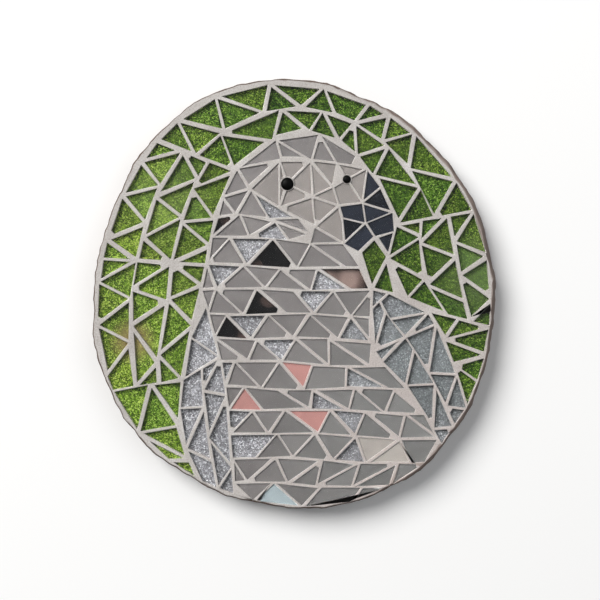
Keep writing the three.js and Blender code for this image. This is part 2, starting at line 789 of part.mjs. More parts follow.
for (const field of fields) {
  let group = field.singly ? null : bedOf(field);
  for (const tile of field.tiles) {
    if (field.singly) addSingle(field.singly, tile.glass, glassSolid(tile, BOARD_THICKNESS));
    else if (tile.glass !== field.glass)
      addSingle(`${tile.glass}_tile`, tile.glass, glassSolid(tile, BED_TOP));
    else group = group.add(glassSolid(tile, BED_TOP));
  }
  if (group) addMesh(field.name, geometryOf(group), field.glass);
}

// The grout: a plate out to the rim, less the beds of adhesive and every piece of glass and both eyes.
function groutPlate() {
  const ring = (inset) =>
    Array.from({ length: RIM_SEGMENTS }, (_, k) => {
      const degrees = (360 * k) / RIM_SEGMENTS;
      return polar(rimRadius(degrees) - inset, degrees);
    });
  const profile = [
    [0, BOARD_THICKNESS],
    [BOARD_ARRIS + GROUT_BACK_FROM_RIM, BOARD_THICKNESS],
    [GROUT_BACK_FROM_RIM + GROUT_ARRIS * 0.3, GROUT_TOP - GROUT_ARRIS],
    [GROUT_BACK_FROM_RIM + GROUT_ARRIS * 1.3, GROUT_TOP],
    [0, GROUT_TOP],
  ];
  const turned = new THREE.LatheGeometry(
    profile.map(([inset], level) => new THREE.Vector2(inset ? 1 : 0, level)),
    RIM_SEGMENTS,
  );
  const points = turned.attributes.position;
  const rings = new Map(profile.map(([inset]) => [inset, ring(inset)]));
  for (let i = 0; i < points.count; i++) {
    const [inset, level] = profile[Math.round(points.getY(i))];
    const turnShare = Math.atan2(-points.getZ(i), points.getX(i)) / (2 * Math.PI);
    const k = (Math.round(turnShare * RIM_SEGMENTS) + RIM_SEGMENTS) % RIM_SEGMENTS;
    const out = inset ? rings.get(inset)[k] : new THREE.Vector2();
    points.setXYZ(i, out.x, level, -out.y);
  }
  return solidOf(turned.rotateX(Math.PI / 2));
}

// Under the grout lie the beds, and where a field has none the grout goes down to the wood.
function bedPocket() {
  const edge = Array.from({ length: 360 / rim.step }, (_, k) => rim.at(k * rim.step));
  const pocket = prism(offset(edge, CLEARANCE - BED_INSET), CUT_BOTTOM, BED_TOP);
  return fields
    .filter((f) => f.singly)
    .reduce((rest, f) => rest.subtract(prism(refined(f.outline), BOARD_THICKNESS - 2, BED_TOP + 1)), pocket);
}

let grout = groutPlate().subtract(bedPocket());
for (const tile of fields.flatMap((f) => f.tiles)) grout = grout.subtract(socket(tile));
for (const eye of [EYE_NEAR, EYE_FAR]) {
  const hole = { ...eye, radius: eye.radius + CLEARANCE };
  grout = grout.subtract(cylinder(hole, CUT_BOTTOM, CUT_TOP));
}

addMesh("wood_slice", woodSlice(), "wood");
const largest = (solid) => solid.decompose().sort((a, b) => b.volume() - a.volume())[0];
addMesh("grout", geometryOf(largest(grout)), "grout");
addMesh("eye_bead_near", domedBead(EYE_NEAR), "black");
addMesh("eye_bead_far", domedBead(EYE_FAR), "black");

export default panel;
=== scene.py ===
"""A round wall panel: cut glass over coloured backings, set in grout on a slice of wood.

The picture is a grey parrot on a green ground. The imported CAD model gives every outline. Each piece of glass
is remade as a clear body with ground edges over coloured glass or a coat of glitter. The grout, the wood and
the two eye beads are remade with their wear and surface.
"""

import math
import random

import bmesh
import bpy
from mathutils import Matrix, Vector, noise


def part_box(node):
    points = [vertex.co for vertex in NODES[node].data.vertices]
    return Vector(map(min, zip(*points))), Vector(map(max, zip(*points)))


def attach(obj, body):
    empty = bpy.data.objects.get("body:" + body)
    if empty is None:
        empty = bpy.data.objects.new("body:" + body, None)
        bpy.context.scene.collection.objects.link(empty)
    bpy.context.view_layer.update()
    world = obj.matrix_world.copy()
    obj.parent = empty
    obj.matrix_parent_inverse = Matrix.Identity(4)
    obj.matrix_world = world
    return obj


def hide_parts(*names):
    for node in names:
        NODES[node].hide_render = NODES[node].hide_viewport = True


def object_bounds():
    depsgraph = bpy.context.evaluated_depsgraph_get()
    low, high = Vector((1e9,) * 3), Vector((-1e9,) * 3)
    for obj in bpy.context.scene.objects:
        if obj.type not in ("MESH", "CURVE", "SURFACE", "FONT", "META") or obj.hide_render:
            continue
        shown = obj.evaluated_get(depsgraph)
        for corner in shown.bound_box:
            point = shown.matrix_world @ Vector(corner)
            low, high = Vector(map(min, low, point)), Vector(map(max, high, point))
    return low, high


MM = 0.001
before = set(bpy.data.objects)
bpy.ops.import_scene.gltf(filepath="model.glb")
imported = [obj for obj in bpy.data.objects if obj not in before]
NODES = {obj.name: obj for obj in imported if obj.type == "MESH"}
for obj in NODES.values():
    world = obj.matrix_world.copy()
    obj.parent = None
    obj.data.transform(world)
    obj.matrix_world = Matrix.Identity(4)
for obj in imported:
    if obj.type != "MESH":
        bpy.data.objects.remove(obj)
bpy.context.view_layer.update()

# ---- Levels in the panel, as y. The back is at 0 and the front is negative. ----

GLASS_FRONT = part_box("face")[0].y
BED_FRONT = GLASS_FRONT + 4 * MM
GROUT_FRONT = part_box("grout")[0].y
WOOD_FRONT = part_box("wood_slice")[0].y

GLITTER_COAT = 0.25 * MM  # glitter in varnish, on the back of clear glass
FLASHED_COLOUR = 2.4 * MM  # coloured glass with a clear skin over it
GLASS_GAP = 0.02 * MM  # between the glass and its backing
EDGE_GRIND = 0.2 * MM  # the rounded front edge of a piece of glass
TIGHT_FIT = 0.36 * MM  # how much wider a piece is than its CAD outline, so that the grout grips it
TILT = 0.006  # a piece laid by hand lies this far out of true, as a slope

SCALLOP = 0.9 * MM  # how deep the bark left its scallops in the rim
SCALLOP_WIDTH = 5.5 * MM
SCALLOP_CUTS = 3  # of each side of the rim, to make room for them
ALONG_THE_GRAIN = 0.3  # the scallops are longer from front to back, by this share

BEAD_SIDES = 40
BEAD_FIT = 0.995  # its radius, as a share of the CAD bead's
DOME_RISE = 0.42  # of its radius
DOME_RINGS = 6
DOME_FLAT = 0.5  # the share of one more ring that its top leaves flat

SAME_LEVEL = 0.1 * MM
FLAT_ON = 0.98  # cosine of the angle from straight ahead within which a face counts as flat on
LEAST_OUTWARD = 0.4  # the same for a face that looks out from the middle of the slice
SHARPEST_CORNER = 0.3  # keeps a sharp corner from running far out when its sides move

# ---- Which CAD nodes are of which glass ----


def named(*starts):
    return sorted(name for name in NODES if name.startswith(starts))


GLASS_NODES = {
    "green": named("ground_"),
    "grey": named("crown", "neck_", "breast_"),
    "pale": named("face"),
    "glitter": named("near_wing", "far_wing", "silver_tile"),
    "navy": named("bill_tile"),
    "black": named("black_tile"),
    "rose": named("rose_tile"),
    "ice": named("ice_tile"),
    "pearl": named("pearl_tile"),
}


# ---- Small tools ----


def linear(hex_colour):
    """An sRGB hex colour as linear RGBA."""
    shares = [int(hex_colour[i : i + 2], 16) / 255 for i in (1, 3, 5)]
    curve = [s / 12.92 if s <= 0.04045 else ((s + 0.055) / 1.055) ** 2.4 for s in shares]
    return (*curve, 1.0)


def add_node(tree, kind, links=None, **settings):
    """A node with its settings. Each entry of links is a socket to join to, or a plain value."""
    node = tree.nodes.new(kind)
    for name, value in settings.items():
        setattr(node, name, value)
    for socket, value in (links or {}).items():
        if isinstance(value, bpy.types.NodeSocket):
            tree.links.new(value, node.inputs[socket])
        else:
            node.inputs[socket].default_value = value
    return node


def set_ramp(node, *stops):
    """Puts (position, colour) stops on a Color Ramp node."""
    elements = node.color_ramp.elements
    while len(elements) < len(stops):
        elements.new(0.5)
    for element, (position, colour) in zip(elements, stops):
        element.position = position
        element.color = colour
    return node


def new_material(name):
    material = bpy.data.materials.new(name)
    material.use_nodes = True
    material.node_tree.nodes.clear()
    return material, material.node_tree


def add_piece(name, bm, materials, replaced=(), smooth=False):
    """A finished mesh as a piece that rides on the panel's one body."""
    mesh = bpy.data.meshes.new(name)
    bm.to_mesh(mesh)
    bm.free()
    for polygon in mesh.polygons:
        polygon.use_smooth = smooth
    for material in materials:
        mesh.materials.append(material)
    piece = bpy.data.objects.new(name, mesh)
    bpy.context.scene.collection.objects.link(piece)
    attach(piece, "root")
    if replaced:
        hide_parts(*replaced)
    return piece


def copy_of(node):
    """A CAD node's mesh with its corners merged."""
    bm = bmesh.new()
    bm.from_mesh(NODES[node].data)
    bmesh.ops.remove_doubles(bm, verts=bm.verts, dist=1e-6)
    return bm


# ---- The camera, square on to the panel, and the light of a plain studio ----

LOW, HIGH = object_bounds()
CENTRE = (LOW + HIGH) / 2
CAMERA_DISTANCE = 0.62
SENSOR_WIDTH = 36  # mm
VIEW_WIDTH = 0.3822  # seen at the front of the panel
SHIFT_X = 0.0072  # the panel hangs a little left of and above the middle of the view
SHIFT_Y = -0.0102


def add_camera():
    data = bpy.data.cameras.new("camera")
    data.sensor_width = SENSOR_WIDTH
    data.lens = data.sensor_width * CAMERA_DISTANCE / VIEW_WIDTH
    data.shift_x = SHIFT_X
    data.shift_y = SHIFT_Y
    camera = bpy.data.objects.new("camera", data)
    camera.location = (CENTRE.x, GLASS_FRONT - CAMERA_DISTANCE, CENTRE.z)
    camera.rotation_euler = (math.radians(90), 0, 0)
    bpy.context.scene.collection.objects.link(camera)
    bpy.context.scene.camera = camera


def add_lamp(name, place, size, power, colour="#ffffff"):
    data = bpy.data.lights.new(name, "AREA")
    data.shape = "DISK"
    data.size = size
    data.energy = power
    data.color = linear(colour)[:3]
    lamp = bpy.data.objects.new(name, data)
    lamp.location = place
    lamp.rotation_euler = (CENTRE - Vector(place)).to_track_quat("-Z", "Y").to_euler()
    bpy.context.scene.collection.objects.link(lamp)


def light_studio():
    add_lamp("softbox", (-2.15, -3.05, 2.0), 2.5, 197, "#fffefc")
    add_lamp("fill", (1.6, -2.4, 0.5), 2.2, 16, "#fbfdff")
    add_lamp("behind", (-0.8, 1.2, 0.6), 0.9, 24)
    world = bpy.data.worlds.new("studio")
    world.use_nodes = True
    tree = world.node_tree
    tree.nodes.clear()
    path = add_node(tree, "ShaderNodeLightPath")
    seen = add_node(
        tree,
        "ShaderNodeMapRange",
        {"Value": path.outputs["Is Camera Ray"], "To Min": 0.16, "To Max": 0.95},
    )
    room = add_node(tree, "ShaderNodeBackground", {"Color": linear("#f8f9fa"), "Strength": seen.outputs[0]})
    add_node(tree, "ShaderNodeOutputWorld", {"Surface": room.outputs[0]})
    bpy.context.scene.world = world
    bpy.context.scene.view_settings.view_transform = "Standard"


WALL_GAP = 0.3 * MM  # behind the panel's back
FLOOR_LEVEL = -0.62
SHEET_REACH = 6  # of the wall and the floor, from their middle


def add_backdrop():
    """A pale wall that shows only from its front, and a pale floor."""
    painted, tree = new_material("white_emulsion_wall")
    paint = add_node(
        tree,
        "ShaderNodeBsdfPrincipled",
        {"Base Color": linear("#fdfdfd"), "Roughness": 0.9, "Specular IOR Level": 0.0},
    )
    side = add_node(tree, "ShaderNodeNewGeometry")
    clear = add_node(tree, "ShaderNodeBsdfTransparent")
    mixed = add_node(
        tree,
        "ShaderNodeMixShader",
        {0: side.outputs["Backfacing"], 1: paint.outputs[0], 2: clear.outputs[0]},
    )
    add_node(tree, "ShaderNodeOutputMaterial", {"Surface": mixed.outputs[0]})
    for name, place, turn in (
        ("wall", (0, WALL_GAP, 0), math.radians(90)),
        ("floor", (0, 0, FLOOR_LEVEL), 0),
    ):
        bm = bmesh.new()
        bmesh.ops.create_grid(bm, x_segments=1, y_segments=1, size=SHEET_REACH)
        mesh = bpy.data.meshes.new(name)
        bm.to_mesh(mesh)
        bm.free()
        mesh.materials.append(painted)
        sheet = bpy.data.objects.new(name, mesh)
        sheet.location = place
        sheet.rotation_euler = (turn, 0, 0)
        sheet.visible_diffuse = False
        sheet.visible_glossy = False
        sheet.visible_transmission = False
        sheet.visible_shadow = False
        bpy.context.scene.collection.objects.link(sheet)


# ---- Materials ----


def object_position(tree):
    return add_node(tree, "ShaderNodeTexCoord").outputs["Object"]


def clear_glass(name, tint, roughness):
    """Clear float glass, cut and snapped. Its faces are polished and mirror the room, and its edges are
    rubbed dull. The lamps shine through it to its backing, where the shade of the grout falls."""
    material, tree = new_material(name)
    glass = add_node(
        tree,
        "ShaderNodeBsdfPrincipled",
        {"Base Color": linear(tint), "Roughness": roughness, "IOR": 1.5, "Transmission Weight": 1.0},
    )
    path = add_node(tree, "ShaderNodeLightPath")
    clear = add_node(tree, "ShaderNodeBsdfTransparent", {"Color": linear("#fbfafa")})
    mixed = add_node(
        tree,
        "ShaderNodeMixShader",
        {0: path.outputs["Is Shadow Ray"], 1: glass.outputs[0], 2: clear.outputs[0]},
    )
    add_node(tree, "ShaderNodeOutputMaterial", {"Surface": mixed.outputs[0]})
    return material


def tile_share(tree, attribute, least, most):
    """A number of its own for each piece of glass, from least to most."""
    share = add_node(tree, "ShaderNodeAttribute", attribute_name=attribute).outputs["Fac"]
    return add_node(
        tree,
        "ShaderNodeMapRange",
        {"Value": share, "To Min": least, "To Max": most},
    ).outputs[0]


def patch(tree, position, middle, reach, colour, share, over):
    """Lays a soft round patch of another colour over one. Its reach is where it fades out."""
    distance = add_node(tree, "ShaderNodeVectorMath", {0: position, 1: middle}, operation="DISTANCE")
    fade = add_node(
        tree,
        "ShaderNodeMapRange",
        {"Value": distance.outputs["Value"], "From Min": reach, "From Max": reach * 0.35, "To Max": share},
    )
    mixed = add_node(
        tree,
        "ShaderNodeMix",
        {0: fade.outputs[0], 6: over, 7: linear(colour)},
        data_type="RGBA",
    )
    return mixed.outputs[2]


def flake_shader(tree, flakes, colour, tilt, metallic, gloss):
    """Each flake lies at an angle of its own, so that it catches the light or doesn't."""
    lean = add_node(
        tree,
        "ShaderNodeVectorMath",
        {0: flakes.outputs["Color"], 1: (-0.5, -0.5, -0.5)},
        operation="ADD",
    )
    face = add_node(tree, "ShaderNodeNewGeometry").outputs["Normal"]
    leaning = add_node(
        tree,
        "ShaderNodeVectorMath",
        {0: lean.outputs[0], 1: (tilt, tilt, tilt), 2: face},
        operation="MULTIPLY_ADD",
    )
    normal = add_node(tree, "ShaderNodeVectorMath", {0: leaning.outputs[0]}, operation="NORMALIZE")
    shader = add_node(
        tree,
        "ShaderNodeBsdfPrincipled",
        {
            "Base Color": colour,
            "Roughness": 0.42,
            "Metallic": metallic,
            "Specular IOR Level": gloss,
            "Normal": normal.outputs[0],
        },
    )
    add_node(tree, "ShaderNodeOutputMaterial", {"Surface": shader.outputs[0]})


def loose_flakes(tree, position, flake):
    """Flakes of one size, scattered: the pattern, and a chance for each flake."""
    flakes = add_node(tree, "ShaderNodeTexVoronoi", {"Vector": position, "Scale": 1 / flake})
    chances = add_node(tree, "ShaderNodeSeparateColor", {"Color": flakes.outputs["Color"]})
    return flakes, chances.outputs[0]


def green_glitter():
    """Green glitter in varnish. It is bright and yellowish at the left and deep at the top and right, partly
    its own colour and partly painted light falling from the left. It has a brown stain at the far left, and a
    milky haze at the right rim that is a painted reflection."""
    material, tree = new_material("green_glitter_varnish")
    position = object_position(tree)
    flakes, chance = loose_flakes(tree, position, 0.66 * MM)
    bright = set_ramp(
        add_node(tree, "ShaderNodeValToRGB", {"Fac": chance}),
        (0.0, linear("#101c04")),
        (0.35, linear("#3c5612")),
        (0.75, linear("#6a8728")),
        (0.97, linear("#9cb058")),
    )
    deep = set_ramp(
        add_node(tree, "ShaderNodeValToRGB", {"Fac": chance}),
        (0.0, linear("#0a1402")),
        (0.4, linear("#233c09")),
        (0.8, linear("#3c5b12")),
        (0.975, linear("#6d8838")),
    )
    # Partly painted light: the green runs from the bright ramp at the left to the deep ramp at the right, as
    # if lit from the left; partly its own colour.
    places = add_node(tree, "ShaderNodeSeparateXYZ", {"Vector": position})
    painted_light_and_tone = add_node(
        tree,
        "ShaderNodeMapRange",
        {"Value": places.outputs["X"], "From Min": -0.1, "From Max": -0.005},
    )
    drift = add_node(tree, "ShaderNodeTexNoise", {"Vector": position, "Scale": 30.0, "Detail": 2.0})
    clouded = add_node(
        tree,
        "ShaderNodeMapRange",
        {"Value": drift.outputs["Fac"], "From Min": 0.35, "From Max": 0.65, "To Min": -0.25, "To Max": 0.25},
    )
    depth = add_node(
        tree,
        "ShaderNodeMath",
        {0: painted_light_and_tone.outputs[0], 1: clouded.outputs[0]},
        operation="ADD",
        use_clamp=True,
    )
    colour = add_node(
        tree,
        "ShaderNodeMix",
        {0: depth.outputs[0], 6: bright.outputs[0], 7: deep.outputs[0]},
        data_type="RGBA",
    ).outputs[2]
    colour = patch(tree, position, (-0.102, BED_FRONT, -0.029), 0.016, "#7d6c48", 0.75, colour)
    # Painted reflection: a milky haze of light over the green at the right rim.
    colour = patch(tree, position, (0.122, BED_FRONT, 0.012), 0.034, "#4f6038", 0.6, colour)
    colour = patch(tree, position, (-0.078, BED_FRONT, 0.062), 0.03, "#6b7f4c", 0.22, colour)
    hue = tile_share(tree, "tile_hue", 0.49, 0.508)
    value = tile_share(tree, "tile_tone", 0.76, 1.08)
    toned = add_node(tree, "ShaderNodeHueSaturation", {"Color": colour, "Hue": hue, "Value": value})
    flake_shader(tree, flakes, toned.outputs[0], 0.16, 0.0, 0.06)
    return material


def silver_glitter():
    """Silver glitter in varnish, a little bluer on the far wing."""
    material, tree = new_material("silver_glitter_varnish")
    position = object_position(tree)
    flakes, chance = loose_flakes(tree, position, 0.66 * MM)
    ramp = set_ramp(
        add_node(tree, "ShaderNodeValToRGB", {"Fac": chance}),
        (0.0, linear("#4a4a4d")),
        (0.4, linear("#696a6e")),
        (0.8, linear("#8a8b90")),
        (0.97, linear("#c8cbce")),
    )
    colour = patch(tree, position, (0.1, BED_FRONT, -0.04), 0.085, "#4a5454", 0.6, ramp.outputs[0])
    value = tile_share(tree, "tile_tone", 0.86, 1.14)
    toned = add_node(tree, "ShaderNodeHueSaturation", {"Color": colour, "Value": value})
    flake_shader(tree, flakes, toned.outputs[0], 0.42, 0.1, 0.3)
    return material


def satin_backing(name, colour, deep, spread, gloss=0.5, aside=None):
    """Coloured glass with a satin face, seen through its clear skin. It is even, with a faint cloud and a
    fine grain. At the lower right it may drift to the colour aside."""
    material, tree = new_material(name)
    position = object_position(tree)
    cloud = add_node(
        tree,
        "ShaderNodeTexNoise",
        {"Vector": position, "Scale": 55.0, "Detail": 3.0, "Roughness": 0.6},
    )
    grain = add_node(
        tree,
        "ShaderNodeTexNoise",
        {"Vector": position, "Scale": 1 / (0.7 * MM), "Detail": 2.0},
    )
    share = add_node(
        tree,
        "ShaderNodeMath",
        {0: cloud.outputs["Fac"], 1: grain.outputs["Fac"]},
        operation="MULTIPLY",
    )
    ramp = set_ramp(
        add_node(tree, "ShaderNodeValToRGB", {"Fac": share.outputs[0]}),
        (0.08, linear(deep)),
        (0.42, linear(colour)),
    )
    drifted = patch(tree, position, (0.075, BED_FRONT, -0.09), 0.11, aside or colour, 0.8, ramp.outputs[0])
    toned = add_node(
        tree,
        "ShaderNodeHueSaturation",
        {"Color": drifted, "Value": tile_share(tree, "tile_tone", 1 - spread, 1 + spread)},
    )
    shader = add_node(
        tree,
        "ShaderNodeBsdfPrincipled",
        {"Base Color": toned.outputs[0], "Roughness": 0.45, "Specular IOR Level": gloss},
    )
    add_node(tree, "ShaderNodeOutputMaterial", {"Surface": shader.outputs[0]})
    return material


def cement_grout():
    """Sanded cement grout, wiped smooth while wet. It is matt, with fine sand, pin holes and pale dusty
    patches. Along the rim it is rubbed through to the brown wood."""
    material, tree = new_material("sanded_cement_grout")
    position = object_position(tree)
    sand = add_node(
        tree,
        "ShaderNodeTexNoise",
        {"Vector": position, "Scale": 1 / (0.9 * MM), "Detail": 4.0, "Roughness": 0.7},
    )
    patches = add_node(
        tree,
        "ShaderNodeTexNoise",
        {"Vector": position, "Scale": 45.0, "Detail": 4.0, "Roughness": 0.6},
    )
    pins = add_node(
        tree,
        "ShaderNodeTexVoronoi",
        {"Vector": position, "Scale": 1 / (2.6 * MM)},
    )
    pin_dark = set_ramp(
        add_node(tree, "ShaderNodeValToRGB", {"Fac": pins.outputs["Distance"]}),
        (0.05, linear("#a39a92")),
        (0.16, linear("#ffffff")),
    )
    base = set_ramp(
        add_node(tree, "ShaderNodeValToRGB", {"Fac": patches.outputs["Fac"]}),
        (0.3, linear("#bdb8b5")),
        (0.52, linear("#cbc7c4")),
        (0.72, linear("#d9d6d4")),
    )
    tinted = patch(tree, position, (0.07, GROUT_FRONT, -0.09), 0.12, "#c9bdba", 0.5, base.outputs[0])
    grains = set_ramp(
        add_node(tree, "ShaderNodeValToRGB", {"Fac": sand.outputs["Fac"]}),
        (0.32, linear("#d9d5d1")),
        (0.6, linear("#ffffff")),
    )
    sanded = add_node(
        tree,
        "ShaderNodeMix",
        {0: 1.0, 6: tinted, 7: grains.outputs[0]},
        data_type="RGBA",
        blend_type="MULTIPLY",
    )
    pitted = add_node(
        tree,
        "ShaderNodeMix",
        {0: 0.6, 6: sanded.outputs[2], 7: pin_dark.outputs[0]},
        data_type="RGBA",
        blend_type="MULTIPLY",
    )
    places = add_node(tree, "ShaderNodeSeparateXYZ", {"Vector": position})
    ragged = add_node(
        tree,
        "ShaderNodeMath",
        {0: patches.outputs["Fac"], 1: 1.6 * MM, 2: places.outputs["Y"]},
        operation="MULTIPLY_ADD",
    )
    down_the_edge = add_node(
        tree,
        "ShaderNodeMapRange",
        {
            "Value": ragged.outputs[0],
            "From Min": GROUT_FRONT + 0.9 * MM,
            "From Max": GROUT_FRONT + 1.5 * MM,
        },
    )
    at_rim = add_node(tree, "ShaderNodeAttribute", attribute_name="rim_wear")
    rubbed = add_node(
        tree,
        "ShaderNodeMath",
        {0: down_the_edge.outputs[0], 1: at_rim.outputs["Fac"]},
        operation="MULTIPLY",
    )
    edged = add_node(
        tree,
        "ShaderNodeMix",
        {0: rubbed.outputs[0], 6: pitted.outputs[2], 7: linear("#5f4f47")},
        data_type="RGBA",
    )
    spread = add_node(
        tree,
        "ShaderNodeMath",
        {0: patches.outputs["Fac"], 1: 0.9, 2: at_rim.outputs["Fac"]},
        operation="MULTIPLY_ADD",
    )
    worn_front = add_node(
        tree,
        "ShaderNodeMapRange",
        {"Value": spread.outputs[0], "From Min": 1.15, "From Max": 1.35},
    )
    at_right = add_node(
        tree,
        "ShaderNodeMapRange",
        {"Value": places.outputs["X"], "From Min": 0.02, "From Max": 0.09, "To Max": 0.85},
    )
    stained = add_node(
        tree,
        "ShaderNodeMath",
        {0: worn_front.outputs[0], 1: at_right.outputs[0]},
        operation="MULTIPLY",
    )
    handled = add_node(
        tree,
        "ShaderNodeMix",
        {0: stained.outputs[0], 6: edged.outputs[2], 7: linear("#94857e")},
        data_type="RGBA",
    )
    bump = add_node(
        tree,
        "ShaderNodeBump",
        {"Strength": 0.55, "Distance": 0.3 * MM, "Height": sand.outputs["Fac"]},
    )
    shader = add_node(
        tree,
        "ShaderNodeBsdfPrincipled",
        {
            "Base Color": handled.outputs[2],
            "Roughness": 0.92,
            "Specular IOR Level": 0.2,
            "Normal": bump.outputs[0],
        },
    )
    add_node(tree, "ShaderNodeOutputMaterial", {"Surface": shader.outputs[0]})
    return material


def drying_crack(tree, heart, degrees, length):
    """1 on a crack that runs from the heart of the log towards the bark and narrows away, and 0 off it."""
    turned = add_node(
        tree,
        "ShaderNodeMapping",
        {"Vector": heart, "Rotation": (0, math.radians(degrees), 0)},
    )
    wander = add_node(tree, "ShaderNodeTexNoise", {"Vector": turned.outputs[0], "Scale": 60.0, "Detail": 2.0})
    place = add_node(tree, "ShaderNodeSeparateXYZ", {"Vector": turned.outputs[0]})
    middle = add_node(
        tree,
        "ShaderNodeMapRange",
        {"Value": wander.outputs["Fac"], "To Min": -2.5 * MM, "To Max": 2.5 * MM},
    )
    half_width = add_node(
        tree,
        "ShaderNodeMapRange",
        {
            "Value": place.outputs["X"],
            "From Min": 3 * MM,
            "From Max": length,
            "To Min": 1.1 * MM,
            "To Max": 0.0,
        },
    )
    inside = add_node(
        tree,
        "ShaderNodeMath",
        {0: place.outputs["Z"], 1: middle.outputs[0], 2: half_width.outputs[0]},
        operation="COMPARE",
    )
    outwards = add_node(tree, "ShaderNodeMath", {0: place.outputs["X"], 1: 0.0}, operation="GREATER_THAN")
    return add_node(
        tree,
        "ShaderNodeMath",
        {0: inside.outputs[0], 1: outwards.outputs[0]},
        operation="MULTIPLY",
    ).outputs[0]


WAVE_AT_1 = 0.314  # how far apart a wave texture's bands lie at a scale of 1
YEAR_RING = 2.8 * MM
SAW_MARK = 11 * MM


def sawn_log():
    """A dry slice of log with its bark off. The back shows rings, saw marks and drying cracks. The side is
    smeared with grout, more so near the front."""
    material, tree = new_material("dry_sawn_log")
    position = object_position(tree)
    heart = add_node(
        tree,
        "ShaderNodeMapping",
        {"Vector": position, "Location": (-0.011, 0.0, 0.016)},
    )
    grown = add_node(
        tree,
        "ShaderNodeMapping",
        {"Vector": heart.outputs[0], "Scale": (1.0, 0.04, 0.93)},
    )
    rings = add_node(
        tree,
        "ShaderNodeTexWave",
        {
            "Vector": grown.outputs[0],
            "Scale": WAVE_AT_1 / YEAR_RING,
            "Distortion": 5.0,
            "Detail": 3.0,
            "Detail Scale": 0.5,
        },
        wave_type="RINGS",
        rings_direction="Y",
    )
    rings_colour = set_ramp(
        add_node(tree, "ShaderNodeValToRGB", {"Fac": rings.outputs["Fac"]}),
        (0.0, linear("#9a7a5a")),
        (0.45, linear("#b39675")),
    )
    saw_marks = add_node(
        tree,
        "ShaderNodeTexWave",
        {
            "Vector": position,
            "Scale": WAVE_AT_1 / SAW_MARK,
            "Distortion": 4.0,
            "Detail": 3.0,
            "Detail Scale": 2.0,
        },
        wave_type="BANDS",
        bands_direction="Z",
    )
    fibre = add_node(
        tree,
        "ShaderNodeTexNoise",
        {"Vector": position, "Scale": 1 / (1.6 * MM), "Detail": 5.0, "Roughness": 0.7},
    )
    weathered = add_node(
        tree,
        "ShaderNodeTexNoise",
        {"Vector": position, "Scale": 22.0, "Detail": 4.0, "Roughness": 0.6},
    )
    roughened = add_node(
        tree,
        "ShaderNodeMath",
        {0: saw_marks.outputs["Fac"], 1: 0.14, 2: fibre.outputs["Fac"]},
        operation="MULTIPLY_ADD",
    )
    fibres = set_ramp(
        add_node(tree, "ShaderNodeValToRGB", {"Fac": roughened.outputs[0]}),
        (0.35, linear("#c4b8ac")),
        (0.85, linear("#ffffff")),
    )
    sawn = add_node(
        tree,
        "ShaderNodeMix",
        {0: 0.8, 6: rings_colour.outputs[0], 7: fibres.outputs[0]},
        data_type="RGBA",
        blend_type="MULTIPLY",
    )
    greyed = add_node(
        tree,
        "ShaderNodeMapRange",
        {"Value": weathered.outputs["Fac"], "From Min": 0.4, "From Max": 0.75, "To Max": 0.45},
    )
    aged = add_node(
        tree,
        "ShaderNodeMix",
        {0: greyed.outputs[0], 6: sawn.outputs[2], 7: linear("#8b7a68")},
        data_type="RGBA",
    ).outputs[2]
    for degrees, length in ((24, 0.11), (151, 0.07), (262, 0.045)):
        aged = add_node(
            tree,
            "ShaderNodeMix",
            {0: drying_crack(tree, heart.outputs[0], degrees, length), 6: aged, 7: linear("#2c2119")},
            data_type="RGBA",
        ).outputs[2]
    smear = add_node(
        tree,
        "ShaderNodeTexNoise",
        {"Vector": position, "Scale": 70.0, "Detail": 5.0, "Roughness": 0.65},
    )
    places = add_node(tree, "ShaderNodeSeparateXYZ", {"Vector": position})
    forwards = add_node(
        tree,
        "ShaderNodeMapRange",
        {
            "Value": places.outputs["Y"],
            "From Min": 0.0,
            "From Max": WOOD_FRONT,
            "To Min": -0.1,
            "To Max": 0.12,
        },
    )
    smeared = add_node(
        tree,
        "ShaderNodeMath",
        {0: smear.outputs["Fac"], 1: forwards.outputs[0]},
        operation="ADD",
    )
    side_colour = set_ramp(
        add_node(tree, "ShaderNodeValToRGB", {"Fac": smeared.outputs[0]}),
        (0.4, linear("#4f3f37")),
        (0.52, linear("#6e5d54")),
        (0.66, linear("#94857d")),
    )
    side = patch(tree, position, (0.15, 0.0, 0.0), 0.16, "#a2928a", 0.9, side_colour.outputs[0])
    facing = add_node(
        tree,
        "ShaderNodeSeparateXYZ",
        {"Vector": add_node(tree, "ShaderNodeNewGeometry").outputs["Normal"]},
    )
    is_back = add_node(
        tree,
        "ShaderNodeMapRange",
        {"Value": facing.outputs["Y"], "From Min": 0.75, "From Max": 0.95},
    )
    whole = add_node(
        tree,
        "ShaderNodeMix",
        {0: is_back.outputs[0], 6: side, 7: aged},
        data_type="RGBA",
    )
    bump = add_node(
        tree,
        "ShaderNodeBump",
        {"Strength": 0.35, "Distance": 0.3 * MM, "Height": roughened.outputs[0]},
    )
    shader = add_node(
        tree,
        "ShaderNodeBsdfPrincipled",
        {
            "Base Color": whole.outputs[2],
            "Roughness": 0.85,
            "Specular IOR Level": 0.25,
            "Normal": bump.outputs[0],
        },
    )
    add_node(tree, "ShaderNodeOutputMaterial", {"Surface": shader.outputs[0]})
    return material


def mirror_black():
    """Black mirror glass. It is so dark that what shows is the room; a soft brown reflection of it is painted
    into its colour in places.
    """
    material, tree = new_material("black_mirror_glass")
    position = object_position(tree)
    # Painted reflection: patches of soft brown light from the room, painted into the base colour.
    room = add_node(tree, "ShaderNodeTexNoise", {"Vector": position, "Scale": 1 / (26 * MM), "Detail": 1.0})
    painted_room_reflection = set_ramp(
        add_node(tree, "ShaderNodeValToRGB", {"Fac": room.outputs["Fac"]}),
        (0.5, linear("#0a0a0b")),
        (0.6, linear("#4c3f3b")),
        (0.72, linear("#7d6c66")),
    )
    shader = add_node(
        tree,
        "ShaderNodeBsdfPrincipled",
        {"Base Color": painted_room_reflection.outputs[0], "Roughness": 0.1, "IOR": 1.52},
    )
    add_node(tree, "ShaderNodeOutputMaterial", {"Surface": shader.outputs[0]})
    return material


